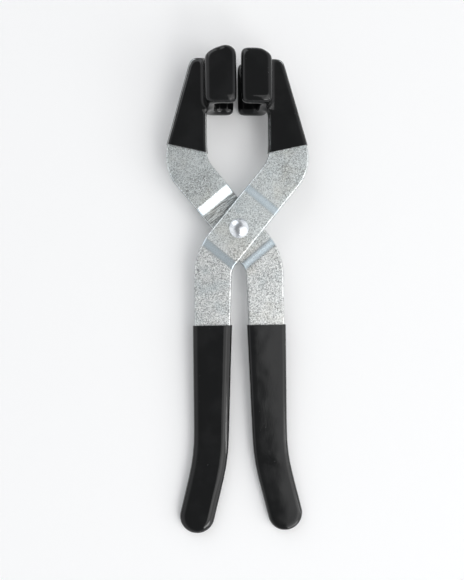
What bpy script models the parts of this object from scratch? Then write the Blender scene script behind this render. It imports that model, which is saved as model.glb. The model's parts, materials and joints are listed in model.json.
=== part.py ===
"""Snap setter pliers: two identical joggled steel arms on one rivet, with channel jaws in a vinyl coat.

Metres, +Z up. The pliers are drawn in their own plane: X across, Y from the rivet towards the jaws,
Z along the rivet, with the origin on the rivet at mid-thickness. The empty "tool" then lays them down
on their jaws and handle ends, with the world origin under the middle of the object.

Everything on one arm is drawn once, for the arm that lies in front: its jaw is at +X and its handle
at -X. The other arm is the same set of pieces turned half a turn about Y.
"""

import math

import bmesh
import bpy
from mathutils import Matrix, Vector

MM = 0.001

# Steel arms
STEEL = 3.0 * MM  # plate thickness
CROSS_ANGLE = math.radians(50.5)  # slope of the crossing stretch above X
CROSS_WIDTH = 21.3 * MM  # plate width where the arms cross
PLATE_EDGE = 0.7 * MM  # rounding of the plate's cut edges
PLATE_GAP = 0.3 * MM  # between the two plates at the rivet
JAW_SIDE_STEP = (16.6 * MM, 22.3 * MM)  # where the joggle towards the jaw starts and ends
HANDLE_SIDE_STEP = (14.3 * MM, 19.6 * MM)  # the same towards the handle
JAW_REACH = 89.6 * MM  # rivet to the end of the plate at the jaw
JAW_END_WIDTH = 8.0 * MM
JAW_END_ROUND = 3.2 * MM
JAW_LEAN = math.radians(15.9)  # outer edge of the jaw stretch from the Y axis
JAW_BEND_INSIDE = 16.0 * MM  # radii of the two edges where the crossing turns into the jaw
JAW_BEND_OUTSIDE = 24.0 * MM
THROAT_RELIEF = 0.8 * MM  # the plate's inner edge stands back this far below the channel
HANDLE_SPREAD = 23.8 * MM  # outer edge of the straight handle from the Y axis
HANDLE_WIDTH = 20.4 * MM  # plate width where the handle begins
HANDLE_TAPER = math.radians(2.2)
HANDLE_BEND_INSIDE = 9.5 * MM  # radii where the crossing turns into the handle
HANDLE_BEND_OUTSIDE = 37.0 * MM
HANDLE_STRAIGHT = 119.3 * MM  # rivet to the outward sweep of the handle
SWEEP = math.radians(14.0)
SWEEP_RADIUS = 100.0 * MM
SWEEP_LENGTH = 39.0 * MM
HANDLE_END_WIDTH = 16.4 * MM

# Rivet and its washer
RIVET_RADIUS = 3.0 * MM
RIVET_CLEARANCE = 0.2 * MM
HEAD_RADIUS = 5.2 * MM
HEAD_HEIGHT = 2.7 * MM
TAIL_RADIUS = 4.6 * MM
TAIL_HEIGHT = 1.8 * MM
TAIL_FLAT = 2.4 * MM  # radius of the hammered flat
WASHER_RADIUS = 6.4 * MM
WASHER_THICKNESS = 1.0 * MM

# Jaw channels, welded to the plates' inner edges
TIP_GAP = 2.5 * MM  # between the coated jaw tips as drawn
CHANNEL_LENGTH = 25.4 * MM
CHANNEL_OVERHANG = 0.6 * MM  # past the end of the plate
CHANNEL_DEPTH = 25.4 * MM  # over both legs
CHANNEL_LEG = 13.2 * MM  # over the web
CHANNEL_WALL = 3.0 * MM
CHANNEL_OUTSIDE_ROUND = 1.2 * MM
CHANNEL_INSIDE_ROUND = 2.6 * MM
CHANNEL_TIP_ROUND = 1.0 * MM
CHANNEL_CORNER = (5.0 * MM, 3.2 * MM)  # cut off the web's far corners, across and along
WELD_LEG = 2.2 * MM
WELD_LENGTH = 19.4 * MM

# Vinyl
JAW_COAT = 1.35 * MM  # on the channel
ARM_COAT = 1.0 * MM  # on the plates
COAT_ROUND = 2.2 * MM  # rounding of the coated plate edges
CHANNEL_COAT_ROUND = 2.2 * MM  # rounding of the coated channel ends
COAT_FILLET = 3.0 * MM  # vinyl gathered in the corners beside the weld
GRIP_MOUTH = 51.0 * MM  # rivet to the mouth of the handle grip
JAW_COAT_MOUTH = (16.1 * MM, 40.0 * MM)  # a point on the edge of the jaw coat
JAW_COAT_SLANT = math.radians(12.0)

SEAM = 0.25 * MM  # between pieces that touch
SINK = 0.05 * MM  # how far a joined shape's flat runs under its neighbour's
ARC_STEP = math.radians(11.0)  # longest step along a round stretch
ROUND_STEPS = 3  # steps across a rounded edge
ROD_SIDES = 28

MATERIALS = {  # colour, roughness, metallic
    "zinc_plate": ((0.62, 0.64, 0.65), 0.38, 1.0),
    "rivet_steel": ((0.72, 0.74, 0.76), 0.2, 1.0),
    "raw_steel": ((0.35, 0.35, 0.36), 0.5, 1.0),
    "black_vinyl": ((0.012, 0.012, 0.013), 0.16, 0.0),
}


# ---- outlines -------------------------------------------------------------------------------------


def meet(point_a, along_a, point_b, along_b):
    """Where two lines of the plane cross."""
    across = along_b.orthogonal()
    return point_a + along_a * ((point_b - point_a).dot(across) / along_a.dot(across))


def rounded(corners):
    """An outline as (point, outward normal) pairs, from counterclockwise (x, y, radius) corners."""
    found = []
    for i, (x, y, radius) in enumerate(corners):
        here = Vector((x, y))
        before = Vector(corners[i - 1][:2])
        after = Vector(corners[(i + 1) % len(corners)][:2])
        arriving, leaving = (here - before).normalized(), (after - here).normalized()
        turn = -arriving.angle_signed(leaving)
        side = math.copysign(1, turn)
        normal = Vector((arriving.y, -arriving.x))
        centre = here - arriving * radius * math.tan(abs(turn) / 2) - normal * radius * side
        steps = max(1, math.ceil(abs(turn) / ARC_STEP))
        for k in range(steps + 1):
            facing = Matrix.Rotation(turn * k / steps, 2) @ normal
            found.append((centre + facing * radius * side, facing))
    return found


def arm_outline():
    """The flat blank of one arm, seen from +Z."""
    along = Vector((math.cos(CROSS_ANGLE), math.sin(CROSS_ANGLE)))
    half = along.orthogonal() * CROSS_WIDTH / 2
    up = Vector((0, 1))
    swept = Vector((-math.sin(SWEEP), -math.cos(SWEEP)))
    tapered = Vector((-math.sin(HANDLE_TAPER), -math.cos(HANDLE_TAPER)))

    land_x = web_face() + SEAM
    throat_x = land_x + THROAT_RELIEF
    land_y = channel_start() - JAW_COAT
    jaw_inside = meet(half, along, Vector((throat_x, 0)), up)
    outer_top = Vector((land_x + JAW_END_WIDTH, JAW_REACH))
    jaw_outside = meet(-half, along, outer_top, Vector((math.sin(JAW_LEAN), -math.cos(JAW_LEAN))))

    handle_outside = meet(half, along, Vector((-HANDLE_SPREAD, 0)), up)
    sweep_outside = Vector((-HANDLE_SPREAD, -HANDLE_STRAIGHT))
    handle_inside = meet(-half, along, handle_outside + Vector((HANDLE_WIDTH, 0)), tapered)
    end_outside = sweep_outside + swept * SWEEP_LENGTH
    across_end = Vector((math.cos(SWEEP), -math.sin(SWEEP))) * HANDLE_END_WIDTH
    sweep_inside = meet(handle_inside, tapered, sweep_outside + across_end, swept)
    end_inside = end_outside + across_end
    end_round = HANDLE_END_WIDTH * 0.49

    return rounded(
        [
            (land_x, JAW_REACH, JAW_COAT),
            (land_x, land_y, 2 * THROAT_RELIEF),
            (throat_x, land_y - 2 * THROAT_RELIEF, 2 * THROAT_RELIEF),
            (*jaw_inside, JAW_BEND_INSIDE),
            (*handle_outside, HANDLE_BEND_OUTSIDE),
            (*sweep_outside, SWEEP_RADIUS),
            (*end_outside, end_round),
            (*end_inside, end_round),
            (*sweep_inside, SWEEP_RADIUS),
            (*handle_inside, HANDLE_BEND_INSIDE),
            (*jaw_outside, JAW_BEND_OUTSIDE),
            (*outer_top, JAW_END_ROUND),
        ]
    )


def web_face():
    """The X of the channel's outer web face."""
    return TIP_GAP / 2 + JAW_COAT + CHANNEL_LEG


def channel_start():
    """The Y of the channel's end towards the rivet."""
    return JAW_REACH + CHANNEL_OVERHANG - CHANNEL_LENGTH


def channel_corners():
    """The channel's section in X and Z."""
    tip, face, half = TIP_GAP / 2 + JAW_COAT, web_face(), CHANNEL_DEPTH / 2
    inner, inner_half = face - CHANNEL_WALL, half - CHANNEL_WALL
    return [
        (tip, -half, CHANNEL_TIP_ROUND),
        (face, -half, CHANNEL_OUTSIDE_ROUND),
        (face, half, CHANNEL_OUTSIDE_ROUND),
        (tip, half, CHANNEL_TIP_ROUND),
        (tip, inner_half, CHANNEL_TIP_ROUND),
        (inner, inner_half, CHANNEL_INSIDE_ROUND),
        (inner, -inner_half, CHANNEL_INSIDE_ROUND),
        (tip, -inner_half, CHANNEL_TIP_ROUND),
    ]


def weld_corners(side):
    """The section of the weld bead on one side (1 or -1) of the plate, rooted in the channel's web."""
    face, low, leg, soft = web_face(), STEEL / 2 + SEAM, WELD_LEG, SEAM
    inner = face - CHANNEL_WALL / 2
    bead = [(inner, low, soft), (face + leg, low, soft), (face, low + leg, soft), (inner, low + leg, soft)]
    return [(x, side * z, radius) for x, z, radius in bead[::side]]


def welded_joint_corners(grow):
    """The section that plate, beads and web edge fill together, for the room that the coat leaves."""
    face, low, leg = web_face(), STEEL / 2, WELD_LEG + 2 * grow
    inner = face - CHANNEL_WALL / 2
    upper = [(face + leg, low, grow), (face, low + leg, grow), (inner, low + leg, grow)]
    return [(x, -z, radius) for x, z, radius in reversed(upper)] + upper


def coat_fillet_corners():
    """The vinyl gathered between the coated web and the coated plate, on both sides of the plate."""
    face, low, leg = web_face() + JAW_COAT - SINK, STEEL / 2 + ARM_COAT - SINK, COAT_FILLET
    inner = web_face()
    upper = [
        (face + 2 * leg, low - SEAM, SEAM / 4),
        (face + leg, low, SEAM),
        (face, low, leg * 0.9),
        (face, low + leg, SEAM),
        (inner, low + leg + SEAM, SEAM),
    ]
    return [(x, -z, radius) for x, z, radius in reversed(upper)] + upper


# ---- solids ---------------------------------------------------------------------------------------


def edge_profile(half_height, offset, radius):
    """(offset, height) steps of a slab whose outer edges are rounded."""
    steps = [i / ROUND_STEPS * math.pi / 2 for i in range(ROUND_STEPS + 1)]
    upper = [
        (offset - radius * (1 - math.cos(a)), half_height - radius * (1 - math.sin(a))) for a in steps
    ]
    return [(out, -height) for out, height in reversed(upper)] + upper


def slab(outline, profile):
    """A closed mesh: the outline at each (offset, height) of the profile, joined and capped."""
    made = bmesh.new()
    loops = [
        [made.verts.new((*(point + normal * offset), height)) for point, normal in outline]
        for offset, height in profile
    ]
    count = len(outline)
    for low, high in zip(loops, loops[1:]):
        for i in range(count):
            j = (i + 1) % count
            made.faces.new((low[i], low[j], high[j], high[i]))
    made.faces.new(reversed(loops[0]))
    made.faces.new(loops[-1])
    return made


def along_y(made, start, end):
    """Turns a slab drawn in X and Z so that its height runs along Y, and sets it between two Ys."""
    bmesh.ops.rotate(made, verts=made.verts, matrix=Matrix.Rotation(math.pi / 2, 3, "X"))
    bmesh.ops.translate(made, verts=made.verts, vec=(0, (start + end) / 2, 0))
    return made


def cut_off(made, point, normal):
    """Cuts a closed mesh with a plane, removes what lies on the normal's side and caps the cut."""
    whole = [*made.verts, *made.edges, *made.faces]
    cut = bmesh.ops.bisect_plane(
        made, geom=whole, plane_co=point, plane_no=normal, clear_outer=True
    )
    rim = [e for e in cut["geom_cut"] if isinstance(e, bmesh.types.BMEdge)]
    bmesh.ops.contextual_create(made, geom=rim)
    return made


def cut_corner(made, stand_off=0.0):
    """Cuts the far corner off the channel's web, or off a shape that stands outside it by a distance."""
    across, along = CHANNEL_CORNER
    outward = Vector((along, across, 0)).normalized()
    corner = Vector((web_face() - across, channel_start() + CHANNEL_LENGTH, 0))
    return cut_off(made, corner + outward * stand_off, outward)


def joggle(made):
    """Lifts the crossing stretch of an arm by half a plate, over a slope on either side of it."""
    along = Vector((math.cos(CROSS_ANGLE), math.sin(CROSS_ANGLE), 0))
    jaw_start, jaw_end = JAW_SIDE_STEP
    handle_start, handle_end = HANDLE_SIDE_STEP
    for distance in (jaw_start, jaw_end, -handle_start, -handle_end):
        whole = [*made.verts, *made.edges, *made.faces]
        bmesh.ops.bisect_plane(made, geom=whole, plane_co=along * distance, plane_no=along)
    for vert in made.verts:
        distance = vert.co.dot(along)
        fall = max((distance - jaw_start) / (jaw_end - jaw_start),
                   (-distance - handle_start) / (handle_end - handle_start))
        vert.co.z += plate_lift() * (1 - min(1.0, max(0.0, fall)))
    return made


def plate_lift():
    """How far the crossing stretch of an arm stands off the plane of the handles and jaws."""
    return (STEEL + PLATE_GAP) / 2


def turned(profile):
    """A closed solid of revolution about Z from (radius, height) points, lowest point first."""
    made = bmesh.new()
    rings = []
    for radius, height in profile:
        spokes = ROD_SIDES if radius > 0 else 1
        rings.append(
            [
                made.verts.new(
                    (radius * math.cos(math.tau * i / spokes), radius * math.sin(math.tau * i / spokes), height)
                )
                for i in range(spokes)
            ]
        )
    for low, high in zip(rings, rings[1:]):
        for i in range(ROD_SIDES):
            j = (i + 1) % ROD_SIDES
            corners = [low[i % len(low)], low[j % len(low)], high[j % len(high)], high[i % len(high)]]
            made.faces.new(list(dict.fromkeys(corners)))
    for ring, flip in ((rings[0], True), (rings[-1], False)):
        if len(ring) > 1:
            made.faces.new(reversed(ring) if flip else ring)
    return made


def ring_of(outer, inner, low, high):
    """A flat washer about Z."""
    made = bmesh.new()
    loops = [
        [
            made.verts.new((r * math.cos(math.tau * i / ROD_SIDES), r * math.sin(math.tau * i / ROD_SIDES), z))
            for i in range(ROD_SIDES)
        ]
        for r, z in ((outer, low), (outer, high), (inner, high), (inner, low))
    ]
    for a, b in zip(loops, loops[1:] + loops[:1]):
        for i in range(ROD_SIDES):
            j = (i + 1) % ROD_SIDES
            made.faces.new((a[i], a[j], b[j], b[i]))
    return made


def mesh_from(made, name):
    """The bmesh as a shaded mesh datablock."""
    mesh = bpy.data.meshes.new(name)
    bmesh.ops.recalc_face_normals(made, faces=made.faces)
    made.to_mesh(mesh)
    made.free()
    mesh.shade_smooth()
    mesh.set_sharp_from_angle(angle=math.radians(32))
    return mesh


def carved(name, base, joined=(), removed=()):
    """A mesh made from a solid by joining some solids to it and then cutting others away."""
    body = bpy.data.objects.new(name, mesh_from(base, name))
    bpy.context.collection.objects.link(body)
    helpers = []
    for operation, solids in (("UNION", joined), ("DIFFERENCE", removed)):
        for solid in solids:
            other = bpy.data.objects.new(name + "_helper", mesh_from(solid, name + "_helper"))
            other.hide_render = True
            other.display_type = "WIRE"
            bpy.context.collection.objects.link(other)
            modifier = body.modifiers.new(operation.lower(), "BOOLEAN")
            modifier.operation, modifier.object, modifier.solver = operation, other, "EXACT"
            helpers.append(other)
    bpy.context.view_layer.update()
    evaluated = body.evaluated_get(bpy.context.evaluated_depsgraph_get())
    mesh = bpy.data.meshes.new_from_object(evaluated)
    for helper in (body, *helpers):
        bpy.data.objects.remove(helper)
    mesh.shade_smooth()
    mesh.set_sharp_from_angle(angle=math.radians(32))
    return mesh


# ---- the pieces of one arm ------------------------------------------------------------------------


def rod(radius, half_length):
    """A plain round bar about Z."""
    return turned([(radius, -half_length), (radius, half_length)])


def arm_mesh():
    """The pressed plate, with its joggles and rivet hole."""
    plate = joggle(slab(arm_outline(), edge_profile(STEEL / 2, 0, PLATE_EDGE)))
    hole = rod(RIVET_RADIUS + RIVET_CLEARANCE, 3 * STEEL)
    return carved("arm_plate", plate, removed=[hole])


def channel_mesh():
    """The jaw channel with the two weld beads that hold it to the plate."""
    half, start, end = CHANNEL_LENGTH / 2, channel_start(), channel_start() + CHANNEL_LENGTH
    half_weld = WELD_LENGTH / 2
    channel = slab(rounded(channel_corners()), [(0, -half), (0, half)])
    beads = [slab(rounded(weld_corners(side)), [(0, -half_weld), (0, half_weld)]) for side in (1, -1)]
    body = cut_corner(along_y(channel, start, end))
    return carved("jaw_channel", body, [along_y(bead, start, end) for bead in beads])


def grip_mesh():
    """The vinyl sleeve on the handle, closed at the handle's end."""
    outline, half = arm_outline(), STEEL / 2
    mouth, towards_rivet = Vector((0, -GRIP_MOUTH, 0)), Vector((0, 1, 0))
    skin = slab(outline, edge_profile(half + ARM_COAT, ARM_COAT, COAT_ROUND))
    room = slab(outline, [(SEAM, -half - SEAM), (SEAM, half + SEAM)])
    past_mouth = mouth + towards_rivet * 3 * STEEL
    return carved(
        "handle_grip",
        cut_off(skin, mouth, towards_rivet),
        removed=[cut_off(room, past_mouth, towards_rivet)],
    )


def jaw_coat_mesh():
    """The vinyl over the channel and the end of the plate, in one piece."""
    outline, half = arm_outline(), STEEL / 2
    start, end = channel_start(), channel_start() + CHANNEL_LENGTH
    half_length = CHANNEL_LENGTH / 2
    mouth = Vector((*JAW_COAT_MOUTH, 0))
    towards_rivet = Vector((math.sin(JAW_COAT_SLANT), -math.cos(JAW_COAT_SLANT), 0))

    skin = slab(outline, edge_profile(half + ARM_COAT, ARM_COAT, COAT_ROUND))
    channel_skin = slab(
        rounded(channel_corners()), edge_profile(half_length + JAW_COAT, JAW_COAT, CHANNEL_COAT_ROUND)
    )
    reach = half_length + JAW_COAT - CHANNEL_COAT_ROUND
    fillet = slab(rounded(coat_fillet_corners()), [(0, -reach), (0, reach)])

    room = slab(outline, [(SEAM, -half - SEAM), (SEAM, half + SEAM)])
    channel_room = slab(rounded(channel_corners()), [(SEAM, -half_length - SEAM), (SEAM, half_length + SEAM)])
    half_weld = WELD_LENGTH / 2 + SEAM
    joint_room = slab(rounded(welded_joint_corners(SEAM)), [(0, -half_weld), (0, half_weld)])
    return carved(
        "jaw_coat",
        cut_off(skin, mouth, towards_rivet),
        joined=[cut_corner(along_y(channel_skin, start, end), JAW_COAT), along_y(fillet, start, end)],
        removed=[
            cut_off(room, mouth + towards_rivet * 3 * STEEL, towards_rivet),
            cut_corner(along_y(channel_room, start, end), SEAM),
            along_y(joint_room, start, end),
        ],
    )


# ---- the rivet ------------------------------------------------------------------------------------


def dome(radius, height, base, flat=0.0):
    """(radius, height) points of a domed head that stands on a base plane, rim first."""
    steps = 5
    sphere = ((radius**2 - flat**2) + height**2) / (2 * height)
    centre = height - math.sqrt(max(sphere**2 - flat**2, 0))
    sphere = math.hypot(radius, centre)
    first, last = math.asin(-centre / sphere), math.acos(flat / sphere)
    angles = [first + (last - first) * i / steps for i in range(steps + 1)]
    return [(max(sphere * math.cos(a), 0.0), base + centre + sphere * math.sin(a)) for a in angles]


def rivet_mesh():
    """The rivet: domed head in front, shank through both plates, peened tail behind the washer."""
    head_base = STEEL + PLATE_GAP / 2 + SEAM
    tail_base = head_base + WASHER_THICKNESS + SEAM
    head = dome(HEAD_RADIUS, HEAD_HEIGHT, head_base)
    head[-1] = (0.0, head_base + HEAD_HEIGHT)
    tail = dome(TAIL_RADIUS, TAIL_HEIGHT, tail_base, TAIL_FLAT)
    profile = [(radius, -height) for radius, height in reversed(tail)]
    profile += [(RIVET_RADIUS, -tail_base), (RIVET_RADIUS, head_base)]
    return mesh_from(turned(profile + head), "pivot_rivet")


def washer_mesh():
    """The washer that keeps the peened tail from clamping the rear plate."""
    near = -(STEEL + PLATE_GAP / 2 + SEAM)
    washer = ring_of(WASHER_RADIUS, RIVET_RADIUS + RIVET_CLEARANCE, near - WASHER_THICKNESS, near)
    return mesh_from(washer, "rivet_washer")


# ---- assembly -------------------------------------------------------------------------------------


def material(name):
    """The named Principled material."""
    made = bpy.data.materials.get(name)
    if made is None:
        colour, roughness, metallic = MATERIALS[name]
        made = bpy.data.materials.new(name)
        made.use_nodes = True
        shader = made.node_tree.nodes["Principled BSDF"]
        shader.inputs["Base Color"].default_value = (*colour, 1.0)
        shader.inputs["Roughness"].default_value = roughness
        shader.inputs["Metallic"].default_value = metallic
    return made


def place(name, mesh, parent, finish):
    """A node with its origin on the rivet's axis."""
    node = bpy.data.objects.new(name, mesh)
    bpy.context.collection.objects.link(node)
    node.parent = parent
    if not mesh.materials:
        mesh.materials.append(material(finish))
    return node


def empty(name, parent=None):
    """A plain empty."""
    made = bpy.data.objects.new(name, None)
    bpy.context.collection.objects.link(made)
    made.parent = parent
    return made


def lay_down(tool, nodes):
    """Tips the pliers onto their jaws and handle ends, and centres their box over the origin."""
    foot_drop = CHANNEL_DEPTH / 2 + JAW_COAT - (STEEL / 2 + ARM_COAT)
    foot_y = channel_start() - JAW_COAT + CHANNEL_COAT_ROUND
    end_radius = HANDLE_END_WIDTH / 2
    end_centre = (SWEEP_LENGTH - end_radius) * math.cos(SWEEP) + end_radius * math.sin(SWEEP)
    end_y = -(HANDLE_STRAIGHT + end_centre + end_radius + ARM_COAT - COAT_ROUND)
    tool.rotation_euler.x = math.atan2(foot_drop, foot_y - end_y)
    bpy.context.view_layer.update()
    points = [node.matrix_world @ vert.co for node in nodes for vert in node.data.vertices]
    low = Vector([min(point[k] for point in points) for k in range(3)])
    high = Vector([max(point[k] for point in points) for k in range(3)])
    tool.location = (-(low.x + high.x) / 2, -(low.y + high.y) / 2, -low.z)


def main():
    """Builds the pliers in an emptied scene."""
    for old in list(bpy.data.objects):
        bpy.data.objects.remove(old)
    tool = empty("tool")
    front_side, back_side = empty("front_side", tool), empty("back_side", tool)
    back_side.rotation_euler.y = math.pi
    arm, channel, jaw_coat, grip = arm_mesh(), channel_mesh(), jaw_coat_mesh(), grip_mesh()
    nodes = [
        place("front_arm", arm, front_side, "zinc_plate"),
        place("back_arm", arm, back_side, "zinc_plate"),
        place("right_jaw_channel", channel, front_side, "raw_steel"),
        place("left_jaw_channel", channel, back_side, "raw_steel"),
        place("right_jaw_coat", jaw_coat, front_side, "black_vinyl"),
        place("left_jaw_coat", jaw_coat, back_side, "black_vinyl"),
        place("left_handle_grip", grip, front_side, "black_vinyl"),
        place("right_handle_grip", grip, back_side, "black_vinyl"),
        place("pivot_rivet", rivet_mesh(), tool, "rivet_steel"),
        place("rivet_washer", washer_mesh(), tool, "zinc_plate"),
    ]
    lay_down(tool, nodes)


main()
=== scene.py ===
"""Looks of the snap setter pliers: zinc plated arms, a bright rivet, and thick black dipped vinyl.

Every piece is drawn in the pliers' own plane (X across, Y from the rivet towards the jaws, Z along the
rivet) for the arm that lies in front. The other arm is the same set of pieces turned half a turn about Y.
"""

import json
import logging
import math
from dataclasses import dataclass, field
from enum import Enum

import bmesh
import bpy
from mathutils import Matrix, Vector

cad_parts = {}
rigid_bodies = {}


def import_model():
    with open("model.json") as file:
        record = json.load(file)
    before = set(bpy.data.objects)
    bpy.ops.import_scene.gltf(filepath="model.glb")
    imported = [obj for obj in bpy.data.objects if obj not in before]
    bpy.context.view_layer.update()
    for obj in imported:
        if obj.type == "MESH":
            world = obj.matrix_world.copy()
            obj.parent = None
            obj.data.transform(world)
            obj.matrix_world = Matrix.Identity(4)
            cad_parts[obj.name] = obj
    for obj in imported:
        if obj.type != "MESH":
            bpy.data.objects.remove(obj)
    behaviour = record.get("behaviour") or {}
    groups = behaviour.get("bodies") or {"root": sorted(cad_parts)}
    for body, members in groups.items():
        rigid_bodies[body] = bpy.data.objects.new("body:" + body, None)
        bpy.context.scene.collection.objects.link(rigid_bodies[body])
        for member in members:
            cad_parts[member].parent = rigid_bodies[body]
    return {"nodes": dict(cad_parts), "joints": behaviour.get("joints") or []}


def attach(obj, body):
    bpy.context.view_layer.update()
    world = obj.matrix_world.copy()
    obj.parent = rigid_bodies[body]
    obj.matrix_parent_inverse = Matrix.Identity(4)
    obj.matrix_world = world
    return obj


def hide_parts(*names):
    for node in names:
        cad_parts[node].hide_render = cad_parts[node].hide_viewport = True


LOG = logging.getLogger("snap_pliers")
MM = 0.001
NodeSocket = bpy.types.NodeSocket
Corner = tuple[float, float, float]
Outline = list[tuple[Vector, Vector]]
Step = tuple[float, float]
Colour = tuple[float, float, float, float]


class Side(Enum):
    """Which of the two arms a piece belongs to, and the body that it moves with."""

    FRONT = "front_side"
    BACK = "back_side"

    @property
    def turn(self) -> Matrix:
        """The turn that takes a piece of the front arm to this arm."""
        return Matrix.Identity(4) if self is Side.FRONT else Matrix.Rotation(math.pi, 4, "Y")


class Slot(Enum):
    """The record's material slots."""

    ZINC = "zinc_plate"
    RIVET = "rivet_steel"
    VINYL = "black_vinyl"


def link(name: str, data: bpy.types.ID) -> bpy.types.Object:
    """Puts a new object in the scene.

    Args:
        name: Its name.
        data: Its mesh, light or camera.

    Returns:
        The object.
    """
    made = bpy.data.objects.new(name, data)
    bpy.context.scene.collection.objects.link(made)
    return made


# ---- node trees -----------------------------------------------------------------------------------


class Tree:
    """Short calls for making nodes and joining their sockets."""

    def __init__(self, tree: bpy.types.NodeTree) -> None:
        """Wraps a node tree."""
        self.tree = tree

    def node(self, kind: str, inputs: dict | None = None, **settings: object) -> bpy.types.Node:
        """Adds a node.

        Args:
            kind: The node's type name.
            inputs: A value, or a socket to join, for each input named or numbered.
            **settings: Attributes of the node.

        Returns:
            The node.
        """
        made = self.tree.nodes.new(kind)
        for name, value in settings.items():
            setattr(made, name, value)
        for key, value in (inputs or {}).items():
            self.feed(made.inputs[key], value)
        return made

    def feed(self, socket: NodeSocket, value: object) -> None:
        """Joins a socket to another one, or sets its value.

        Args:
            socket: The input.
            value: An output socket, or a plain value.
        """
        if isinstance(value, bpy.types.NodeSocket):
            self.tree.links.new(value, socket)
        else:
            socket.default_value = value

    def math(self, operation: str, *values: object, clamp: bool = False) -> NodeSocket:
        """A Math node's result, kept between 0 and 1 if clamp is set."""
        made = self.node("ShaderNodeMath", dict(enumerate(values)), operation=operation, use_clamp=clamp)
        return made.outputs[0]

    def spread(self, value: object, low: object, high: object, to_low: float, to_high: float) -> NodeSocket:
        """A smooth map of a value from the range of low to high to another range."""
        numbers = {0: value, 1: low, 2: high, 3: to_low, 4: to_high}
        return self.node("ShaderNodeMapRange", numbers, interpolation_type="SMOOTHSTEP").outputs[0]


class Shader(Tree):
    """A Principled material under construction, patterned in the piece's own coordinates."""

    def __init__(self, name: str, **constants: float) -> None:
        """Makes the material.

        Args:
            name: The material's name.
            **constants: Plain values for the shader's sockets, with _ for a space in their names.
        """
        self.material = bpy.data.materials.new(name)
        self.material.use_nodes = True
        super().__init__(self.material.node_tree)
        self.shader = self.tree.nodes["Principled BSDF"]
        for key, value in constants.items():
            self.shader.inputs[key.replace("_", " ")].default_value = value
        self.place = self.node("ShaderNodeTexCoord").outputs["Object"]

    def noise(
        self, size: float, detail: float = 3.0, stretch: Vector | None = None, turn: float = 0.0
    ) -> NodeSocket:
        """Noise whose features are about this size.

        Args:
            size: The features' size in metres.
            detail: The number of finer layers.
            stretch: How much longer the features are along each axis, for streaks.
            turn: The angle in the plane by which the streaks are turned.

        Returns:
            The noise, from 0 to 1.
        """
        place = self.place
        if stretch is not None:
            inputs = {"Vector": place, "Rotation": Vector((0, 0, turn)), "Scale": stretch}
            place = self.node("ShaderNodeMapping", inputs, vector_type="TEXTURE").outputs[0]
        inputs = {"Vector": place, "Scale": 1 / size, "Detail": detail, "Roughness": 0.6}
        return self.node("ShaderNodeTexNoise", inputs).outputs["Fac"]

    def cells(self, size: float, output: str) -> NodeSocket:
        """Random cells of about this size: the "Distance" from a cell's middle, or its own "Color"."""
        inputs = {"Vector": self.place, "Scale": 1 / size}
        return self.node("ShaderNodeTexVoronoi", inputs).outputs[output]

    def attribute(self, name: str) -> NodeSocket:
        """A number that the piece's mesh carries."""
        return self.node("ShaderNodeAttribute", attribute_name=name).outputs["Fac"]

    def blend(self, share: object, first: object, second: object) -> NodeSocket:
        """A mix of two colours with this share of the second."""
        made = self.node("ShaderNodeMix", {0: share, 6: first, 7: second}, data_type="RGBA")
        return made.outputs[2]

    def relief(self, height: NodeSocket, depth: float, under: NodeSocket | None = None) -> NodeSocket:
        """A bumped normal.

        Args:
            height: The relief, from 0 to 1.
            depth: Its depth in metres.
            under: The normal that it lies on.

        Returns:
            The normal.
        """
        made = self.node("ShaderNodeBump", {"Height": height, "Distance": depth, "Strength": 1.0})
        if under is not None:
            self.feed(made.inputs["Normal"], under)
        return made.outputs[0]

    def finish(self, **sockets: NodeSocket) -> bpy.types.Material:
        """Joins the results to the shader.

        Args:
            **sockets: An output socket for each input, with _ for a space in its name.

        Returns:
            The finished material.
        """
        for key, value in sockets.items():
            self.feed(self.shader.inputs[key.replace("_", " ")], value)
        return self.material


# ---- finishes -------------------------------------------------------------------------------------


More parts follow.
